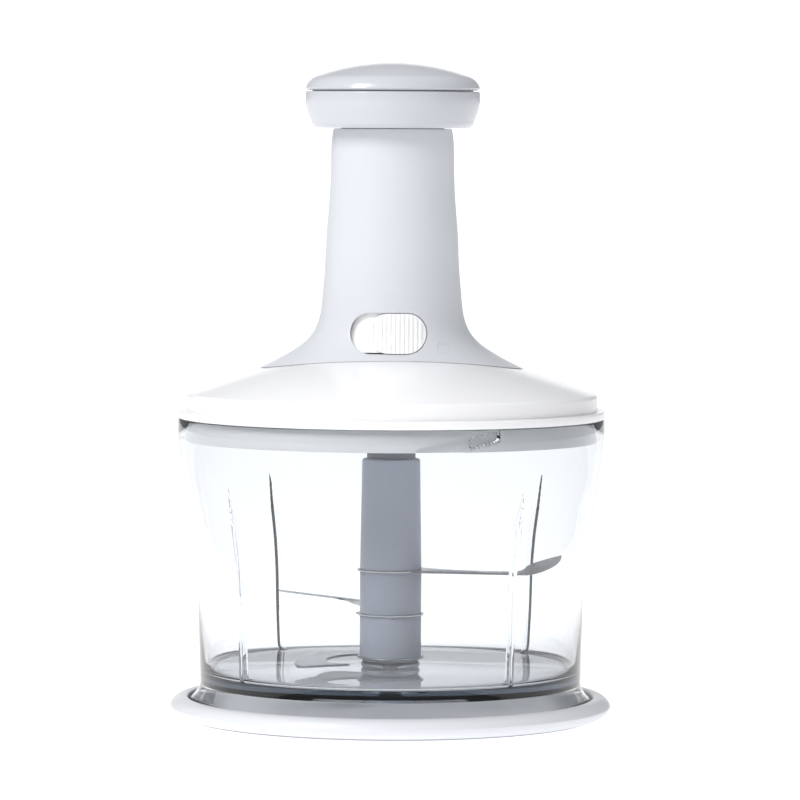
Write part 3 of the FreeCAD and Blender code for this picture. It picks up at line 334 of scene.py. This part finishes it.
def lathe(name, profile, angles=None, shift=None, sharp=35):
    # closed form turned about Z; shift can move a point in or out
    angles = angles or [2 * math.pi * k / 224 for k in range(224)]
    work = bmesh.new()
    columns = []
    for row, (radius, height) in enumerate(profile):
        if radius < 1e-4:
            columns.append([work.verts.new((0, 0, height * mm))])
            continue
        ring = []
        for angle in angles:
            reach = shift(radius, height, angle, row) if shift else radius
            x, y = reach * mm * math.cos(angle), reach * mm * math.sin(angle)
            ring.append(work.verts.new((x, y, height * mm)))
        columns.append(ring)
    count = len(angles)
    for i, a in enumerate(columns):
        b = columns[(i + 1) % len(columns)]
        for k in range(count):
            n = (k + 1) % count
            if len(a) == 1 and len(b) == 1:
                break
            if len(a) == 1:
                work.faces.new((a[0], b[n], b[k]))
            elif len(b) == 1:
                work.faces.new((a[k], a[n], b[0]))
            else:
                work.faces.new((a[k], a[n], b[n], b[k]))
    bmesh.ops.recalc_face_normals(work, faces=work.faces)
    mesh = bpy.data.meshes.new(name)
    work.to_mesh(mesh)
    work.free()
    return addPiece(name, mesh, sharp)


def dress(piece, material):
    piece.data.materials.clear()
    piece.data.materials.append(material)


def fit(piece, body, slot, *replaced):  # finish, body and the solids the piece stands for
    dress(piece, materials[slot])
    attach(piece, body)
    if replaced:
        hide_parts(*replaced)
    return piece


def settle(piece):  # apply the piece's modifiers
    flat = bpy.data.meshes.new_from_object(piece.evaluated_get(bpy.context.evaluated_depsgraph_get()))
    piece.modifiers.clear()
    piece.data = flat
    return piece


def softened(name, node, width, body, slot, angle=38):  # the solid again, its hard edges eased
    mesh = nodes[node].data.copy()
    work = bmesh.new()
    work.from_mesh(mesh)
    bmesh.ops.remove_doubles(work, verts=work.verts, dist=1e-6)
    bmesh.ops.dissolve_limit(work, angle_limit=math.radians(0.5), verts=work.verts, edges=work.edges)
    work.to_mesh(mesh)
    work.free()
    piece = bpy.data.objects.new(name, mesh)
    bpy.context.scene.collection.objects.link(piece)
    bevel = piece.modifiers.new("ease", "BEVEL")
    bevel.width = width * mm
    bevel.segments = 2
    bevel.limit_method = "ANGLE"
    bevel.angle_limit = math.radians(angle)
    bevel.use_clamp_overlap = True
    settle(piece)
    smoothShade(piece, angle)
    return fit(piece, body, slot, node)


# clear bowl: wall, inner ribs, bayonet lugs, skirt and centre boss in one closed form
bowlSettings = {
    "wall": 2.5, "floorTop": 17.8, "floorLow": 14.6, "corner": 3.0, "rim": 119.5,
    "side": [(76.0, 17.8), (77.0, 50.0, 173, -1), (79.4, 74.0), (82.4, 91.5, 200, 1), (85.0, 112.0)],
    "rimRadius": 85.0,
    "skirt": [(77.6, 7.0), (77.6, 3.6, 0.3), (79.6, 3.6, 0.3), (79.6, 8.0, 8.5, -1), (76.0, 14.0)],
    "boss": [(11.1, 17.8), (11.7, 18.6, 1.6, 1), (10.9, 20.6, 0.3), (3.05, 20.6), (3.05, 15.6)],
    "ribTurns": (39, 129, 219, 309), "ribDepth": 2.7, "ribHalf": 1.0, "ribTop": 94.5, "ribTaper": 14.0,
    "lugTurns": (25.6, 145.6, 265.6), "lugSpan": 8.8, "lugDepth": 2.2, "lugMiddle": 115.4,
    "lugClimb": 0.3, "lugTall": 4.4, "lugLow": 3.0,
    # rows close together at the lugs and at the ribs' tops, and steps of turn beside them in radians
    "lugStep": 0.4, "lugRows": 25, "ribEnd": (78, 96), "ribEndStep": 0.9, "wallStep": 1.8,
    "ribTurnStep": 0.002, "lugTurnStep": 0.0045,
}


def turnAngle(degrees):  # turn 0 is the front, and it grows towards +X
    return math.radians(degrees - 90)


def wrapped(angle):
    return (angle + math.pi) % (2 * math.pi) - math.pi


def radiusAt(line, height):
    for a, b in zip(line, line[1:]):
        if a[1] <= height <= b[1]:
            return a[0] + (b[0] - a[0]) * (height - a[1]) / max(b[1] - a[1], 1e-6)
    return line[-1][0]


def ease(value):
    value = max(0.0, min(1.0, value))
    return value * value * (3 - 2 * value)


def ribBump(s, radius, height, angle):
    left = s["ribTop"] - height
    if left <= 0:
        return 0
    depth = s["ribDepth"] * min(1, left / s["ribTaper"]) ** 0.85
    half = s["ribHalf"] * (0.25 + 0.75 * min(1, left / s["ribTaper"]))
    best = 0
    for turn in s["ribTurns"]:
        off = abs(wrapped(angle - turnAngle(turn))) * radius
        best = max(best, depth * ease((half + 0.15 - off) / 0.3) * (1 - 0.1 * min(1, off / half) ** 2))
    return best


def lugBump(s, radius, height, angle):
    best = 0
    for turn in s["lugTurns"]:
        degrees = math.degrees(wrapped(angle - turnAngle(turn)))
        share = degrees / s["lugSpan"] + 0.5
        if not -0.05 < share < 1.05:
            continue
        half = (s["lugTall"] + (s["lugLow"] - s["lugTall"]) * share) / 2
        half *= math.sqrt(max(1 - abs(2 * share - 1) ** 6, 0.12))
        off = abs(height - s["lugMiddle"] - s["lugClimb"] * degrees)
        ends = min(share, 1 - share) * math.radians(s["lugSpan"]) * radius
        best = max(best, s["lugDepth"] * ease((half - off) / 0.35 + 0.5) * ease(ends / 0.35 + 0.5))
    return best


def makeBowl(s):
    side = walk(s["side"] + [(s["rimRadius"], s["rim"])], 14)
    outer = [p for p in side if p.y > s["floorTop"]]
    levels = [s["rim"] - s["lugStep"] * k for k in range(1, s["lugRows"])]
    ribLow, ribHigh = s["ribEnd"]
    while levels[-1] > s["floorTop"] + s["corner"] + 1:
        levels.append(levels[-1] - (s["ribEndStep"] if ribLow < levels[-1] < ribHigh else s["wallStep"]))
    wall = s["wall"]
    inner = [Vector((radiusAt(side, z) - wall, z)) for z in levels]
    low = s["side"][0][0] - wall
    corner = s["corner"]
    fillet = [Vector((low - corner + corner * math.cos(t), s["floorTop"] + corner - corner * math.sin(t)))
              for t in [k * math.pi / 16 for k in range(9)]]
    rim = [Vector((s["rimRadius"], s["rim"] - 0.5)), Vector((s["rimRadius"] - 0.15, s["rim"] - 0.12)),
           Vector((s["rimRadius"] - 0.5, s["rim"])), Vector((s["rimRadius"] - wall + 0.35, s["rim"])),
           Vector((s["rimRadius"] - wall + 0.08, s["rim"] - 0.1))]
    under = [(0, s["floorLow"]), (73.0, s["floorLow"]), (74.0, s["floorLow"] - 1, 8.5, 1)]
    skirt = walk(under + s["skirt"], 8)
    boss = walk(s["boss"] + [(0, s["boss"][-1][1]), (0, s["floorTop"])], 6)[:-1]
    bump = len(skirt) + len(outer) - 1 + len(rim)
    profile = skirt + outer[:-1] + rim + inner + fillet + boss
    last = bump + len(inner) + len(fillet)
    circle = 2 * math.pi
    angles = {round(circle * k / 200, 5) for k in range(200)}
    for turn in s["ribTurns"]:
        angles |= {round((turnAngle(turn) + k * s["ribTurnStep"]) % circle, 5) for k in range(-10, 11)}
    for turn in s["lugTurns"]:
        angles |= {round((turnAngle(turn) + k * s["lugTurnStep"]) % circle, 5) for k in range(-20, 21)}

    def shift(radius, height, angle, row):
        if bump <= row < last:
            return radius - max(ribBump(s, radius, height, angle), lugBump(s, radius, height, angle))
        return radius

    bowl = lathe("bowl_clear", profile, sorted(angles), shift, 28)
    return fit(bowl, "bowl", "clear_plastic", "bowl")


# base tray and its soft ring
traySettings = {
    "tray": [(0, 1.4), (75.65, 1.4), (76.65, 0.6), (77.65, 0.6), (77.65, 2.0), (81.75, 2.0), (81.75, 0.6),
             (82.55, 0.6, 6.4, 1), (87.98, 4.8, 5.2, 1), (81.9, 8.6, 1.1, 1), (80.8, 7.6), (80.8, 3.6),
             (0, 3.6)],
    "ring": [(77.7, 0.0, 0.4), (81.7, 0.0, 0.4), (81.7, 2.0), (77.7, 2.0)],
    "treads": 90, "treadDepth": 0.35, "treadWide": 0.6, "treadTo": 78.5,
}


def makeBase(s):
    fit(lathe("tray_turned", walk(s["tray"], 12)), "base", "tray_plastic", "base_tray")
    treads = s["treads"]

    def notch(radius, height, angle, row):  # grooves across the foot's inner edge
        inGroove = math.cos(angle * treads) > s["treadWide"] and radius < s["treadTo"]
        return radius + s["treadDepth"] * inGroove

    angles = [2 * math.pi * k / (treads * 8) for k in range(treads * 8)]
    # the ring's grey is partly its own and partly painted shade under the base's edge
    fit(lathe("foot_soft_ring", walk(s["ring"]), angles, notch), "base", "foot_rubber", "foot_ring")


# white lid
lidSettings = {
    "shell": [(18.5, 144.2), (30.8, 144.2), (78.9, 127.2), (79.5, 126.6), (79.5, 119.8), (82.9, 119.8),
              (82.9, 121.3), (84.4, 121.3), (84.4, 119.8), (85.0, 119.8, 0.25), (85.0, 122.9, 0.6),
              (82.0, 122.9, 0.25), (82.0, 129.3, 1.2), (30.8, 146.7), (18.5, 146.7)],
}


def makeLid(s):
    fit(lathe("lid_turned", walk(s["shell"])), "lid", "lid_white", "lid_shell")
    softened("cover_skirt", "inner_cover", 0.25, "lid", "cover_grey")


# tower and its slot, marks beside the slot, and the lock slider
towerSettings = {
    "topLevel": 234.7, "topRadius": 23.5, "taper": 0.06, "lean": 2.3, "front": 0.685, "length": 4.3,
    "flareLevel": 149.2, "slotEase": 0.45,
    "lockAt": (19.9, 148.6), "lockSize": (4.4, 3.4), "lockLine": 0.16, "lockCorner": 0.6,
    "hoopReach": 0.3, "hoopLift": 1.1, "lockSunk": 0.06,
}


def towerFront(s, x, z):  # y of the tower's front at a width and level
    taper = s["topRadius"] + s["taper"] * (s["topLevel"] - z)
    flare = s["lean"] * s["length"] * math.log(1 + math.exp((s["flareLevel"] - z) / s["length"]))
    share = x / (taper + flare)
    return -(taper + s["front"] * flare) * math.sqrt(max(1 - share * share, 0))


def bead(name, path, radius, closed, sides=8):  # raised line along a path in mm
    work = bmesh.new()
    rings = []
    count = len(path)
    for i, point in enumerate(path):
        ahead = path[(i + 1) % count] if closed or i + 1 < count else point
        behind = path[i - 1] if closed or i else point
        way = (ahead - behind).normalized()
        out = Vector((0, -1, 0)) - way * way.dot(Vector((0, -1, 0)))
        out.normalize()
        across = way.cross(out)
        rings.append([work.verts.new((point + (out * math.cos(a) + across * math.sin(a)) * radius) * mm)
                      for a in [2 * math.pi * k / sides for k in range(sides)]])
    for i in range(count if closed else count - 1):
        a, b = rings[i], rings[(i + 1) % count]
        for k in range(sides):
            work.faces.new((a[k], a[(k + 1) % sides], b[(k + 1) % sides], b[k]))
    if not closed:
        work.faces.new(rings[0][::-1])
        work.faces.new(rings[-1])
    bmesh.ops.recalc_face_normals(work, faces=work.faces)
    mesh = bpy.data.meshes.new(name)
    work.to_mesh(mesh)
    work.free()
    return addPiece(name, mesh, 60)


def makeTower(s):
    softened("tower_shell", "tower", s["slotEase"], "lid", "tower_grey", 50)
    x, z = s["lockAt"]
    wide, tall = s["lockSize"]
    body = walk([(x + wide * right / 2, z + tall * up / 2, s["lockCorner"])
                 for right, up in ((-1, -1), (1, -1), (1, 1), (-1, 1))])
    reach = wide * s["hoopReach"]
    arch = z + tall / 2 + s["hoopLift"]
    hoop = [Vector((x + reach * math.cos(t), arch + reach * math.sin(t)))
            for t in [math.pi * k / 12 for k in range(13)]]
    hoop = [Vector((hoop[0].x, z + tall / 2))] + hoop + [Vector((hoop[-1].x, z + tall / 2))]
    for name, line, closed in (("lock_mark_body", body, True), ("lock_mark_hoop", hoop, False)):
        path = [Vector((p.x, towerFront(s, p.x, p.y) + s["lockSunk"], p.y)) for p in line]
        fit(bead(name, path, s["lockLine"], closed), "lid", "tower_grey")


# palm knob
knobSettings = {
    "ring": [(20.7, 235.0), (30.5, 235.0, 4.5, 1), (32.55, 238.0, 32, 1), (34.75, 245.0),
             (34.75, 249.5, 0.7), (32.35, 249.5, 0.3), (32.35, 244.0), (29.95, 238.5), (28.95, 237.5),
             (20.7, 237.5)],
    "cap": [(30.25, 244.0), (32.05, 244.0), (32.05, 250.0), (34.0, 250.0, 0.3), (34.75, 250.8, 7.2, 1),
            (30.35, 255.6, 88.0, 1), (0, 261.0), (0, 258.8), (28.85, 253.8), (30.25, 251.0)],
}


def makeKnob(s):
    fit(lathe("knob_ring_turned", walk(s["ring"])), "handle", "knob_grey", "knob_ring")
    fit(lathe("knob_cap_domed", walk(s["cap"], 24)), "handle", "knob_grey", "knob_cap")
    softened("sleeve_turned", "press_sleeve", 0.3, "handle", "tower_grey")


# return spring: drawn compressed
springSettings = {"low": 144.2, "high": 235.0, "radius": 11.4, "wire": 0.8, "turns": 12, "perTurn": 28}


def makeSpring(s):
    count = s["turns"] * s["perTurn"]
    path = []
    for k in range(count + 1):
        angle = 2 * math.pi * k / s["perTurn"]
        level = s["low"] + s["wire"] + (s["high"] - s["low"] - 2 * s["wire"]) * k / count
        path.append(Vector((s["radius"] * math.cos(angle), s["radius"] * math.sin(angle), level)))
    coil = bead("return_coil", path, s["wire"], False)
    dress(coil, materials["spring_steel"])
    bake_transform(coil)
    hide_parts("return_spring")


# blades: ring round the hub, swept arm with a ground edge, and a lifted tip
bladeSettings = {
    "thick": 0.8, "ring": (8.25, 13.3), "grind": 3.0, "edge": 0.12,
    "leading": [(8, -11.0), (20, -13.3), (35, -16.1), (48, -18.5), (53.5, -18.9), (58, -15.4),
                (62.5, -8.6), (66, -1), (68.2, 6.5), (69.3, 13.3)],
    "trailing": [(8.5, 11.0), (15, 4.6), (25, -3.2), (38, -7.6), (51, -10.2), (54.2, -5.4), (57.6, 0.4),
                 (61.2, 5.0), (65, 9.4), (69.2, 13.5)],
    "tilt": 0.135, "foldFrom": 49.0, "foldTo": 55.0, "front": -19.1,
    "levels": {"upper": (58.6, 0), "middle": (40.7, 120), "lower": (21.9, 0)},
    "hookEdge": 0.9,
    "hook": [(-6, 10.6), (-15, 14.6), (-22.7, 16.4), (-27, 13), (-29.9, 6), (-33, -3), (-36.2, -11.1),
             (-37.8, -18), (-37.6, -27), (-35.0, -35.4), (-25, -32), (-15.8, -28.3), (-20.5, -25.2),
             (-22.9, -22.3), (-24.6, -18.3), (-25, -13), (-23.6, -7), (-19.5, 0), (-14, 3.6), (-9, 5.6)],
}


def curved(points, per=5):  # smooth line through the points
    out = []
    for i in range(len(points) - 1):
        p = [Vector(points[max(0, min(len(points) - 1, i + k))]) for k in (-1, 0, 1, 2)]
        for k in range(per):
            t = k / per
            out.append(0.5 * (2 * p[1] + (p[2] - p[0]) * t + (2 * p[0] - 5 * p[1] + 4 * p[2] - p[3]) * t * t
                              + (3 * p[1] - p[0] - 3 * p[2] + p[3]) * t ** 3))
    return out + [Vector(points[-1])]


def armMesh(s, level):
    work = bmesh.new()
    rows = []
    for front, back in zip(curved(s["leading"]), curved(s["trailing"])):
        wide = (back - front).length
        ground = front + (back - front) * min(0.6, s["grind"] / max(wide, 0.01))
        marks = ((front, s["edge"]), (ground, s["thick"]), (back, s["thick"]), (back, 0), (front, 0))
        row = []
        for spot, up in marks:
            fold = ease((spot.x - s["foldFrom"]) / (s["foldTo"] - s["foldFrom"]))
            lift = s["tilt"] * max(0, spot.y - s["front"]) * fold
            row.append(work.verts.new((spot.x * mm, spot.y * mm, (level + lift + up) * mm)))
        rows.append(row)
    for a, b in zip(rows, rows[1:]):
        for k in range(5):
            work.faces.new((a[k], a[(k + 1) % 5], b[(k + 1) % 5], b[k]))
    work.faces.new(rows[0][::-1])
    work.faces.new(rows[-1])
    bmesh.ops.recalc_face_normals(work, faces=work.faces)
    return work


def hookMesh(s, level):
    loop = s["hook"]
    work = bmesh.new()
    line = curved(loop + loop[:1], 4)[:-1]
    middle = []
    count = len(line)
    for i, spot in enumerate(line):
        way = (line[(i + 1) % count] - line[i - 1]).normalized()
        middle.append(spot + Vector((-way.y, way.x)) * s["hookEdge"])
    rings = [[work.verts.new((p.x * mm, p.y * mm, (level + up) * mm)) for p in ring]
             for ring, up in ((line, 0), (line, s["edge"]), (middle, s["thick"]))]
    for a, b in zip(rings, rings[1:]):
        for k in range(count):
            work.faces.new((a[k], a[(k + 1) % count], b[(k + 1) % count], b[k]))
    bmesh.ops.triangulate(work, faces=[work.faces.new(rings[0][::-1]), work.faces.new(rings[-1])])
    bmesh.ops.recalc_face_normals(work, faces=work.faces)
    return work


def makeBlades(s):
    for name, (level, turn) in s["levels"].items():
        inner, outer = s["ring"]
        top = level + s["thick"]
        ring = lathe("blade_" + name + "_ground",
                     walk([(inner, level), (outer, level, 0.2), (outer, top, 0.2), (inner, top)]))
        work = hookMesh(s, level) if name == "lower" else armMesh(s, level)
        mesh = bpy.data.meshes.new("blade_" + name + "_arm")
        work.to_mesh(mesh)
        work.free()
        arm = bpy.data.objects.new(mesh.name, mesh)
        bpy.context.scene.collection.objects.link(arm)
        join = ring.modifiers.new("join", "BOOLEAN")
        join.operation = "UNION"
        join.object = arm
        settle(ring)
        bpy.data.objects.remove(arm)
        ring.data.transform(Matrix.Rotation(math.radians(turn), 4, "Z"))
        smoothShade(ring, 20)
        fit(ring, "blades", "blade_steel", "blade_" + name)


materials = makeMaterials()
makeCamera(cameraSettings)
makeLights(lightSettings)
makeFloor(floorSettings)
print("camera, lights and floor ready")

slotOf = {row["node"]: row["material_slot"] for row in frame["record"]["subparts"]}
for nodeName, solid in nodes.items():
    dress(solid, materials[slotOf[nodeName]])
print("finishes on", len(nodes), "solids")

clearBowl = makeBowl(bowlSettings)
for lampName in lightSettings["lamps"]:
    passThrough(bpy.data.objects[lampName], clearBowl)
print("bowl ready")
makeBase(traySettings)
makeLid(lidSettings)
makeTower(towerSettings)
makeKnob(knobSettings)
print("base, lid, tower and knob ready")
makeSpring(springSettings)
makeBlades(bladeSettings)
hubPieces = {  # name: the solid it stands for and how far its edges are eased
    "hub_sleeve": ("blade_shaft", 0.2), "hub_spacer_low": ("spacer_lower", 0.2),
    "hub_spacer_high": ("spacer_upper", 0.2), "hub_foot": ("shaft_end", 0.15),
    "hub_neck": ("drive_coupling", 0.2),
}
for hubName, (hubNode, hubEase) in hubPieces.items():
    softened(hubName, hubNode, hubEase, "blades", slotOf[hubNode])
softened("slider_button", "lock_slider", 0.12, "slider", "slider_white", 30)
print("spring, blades, hub and slider ready")
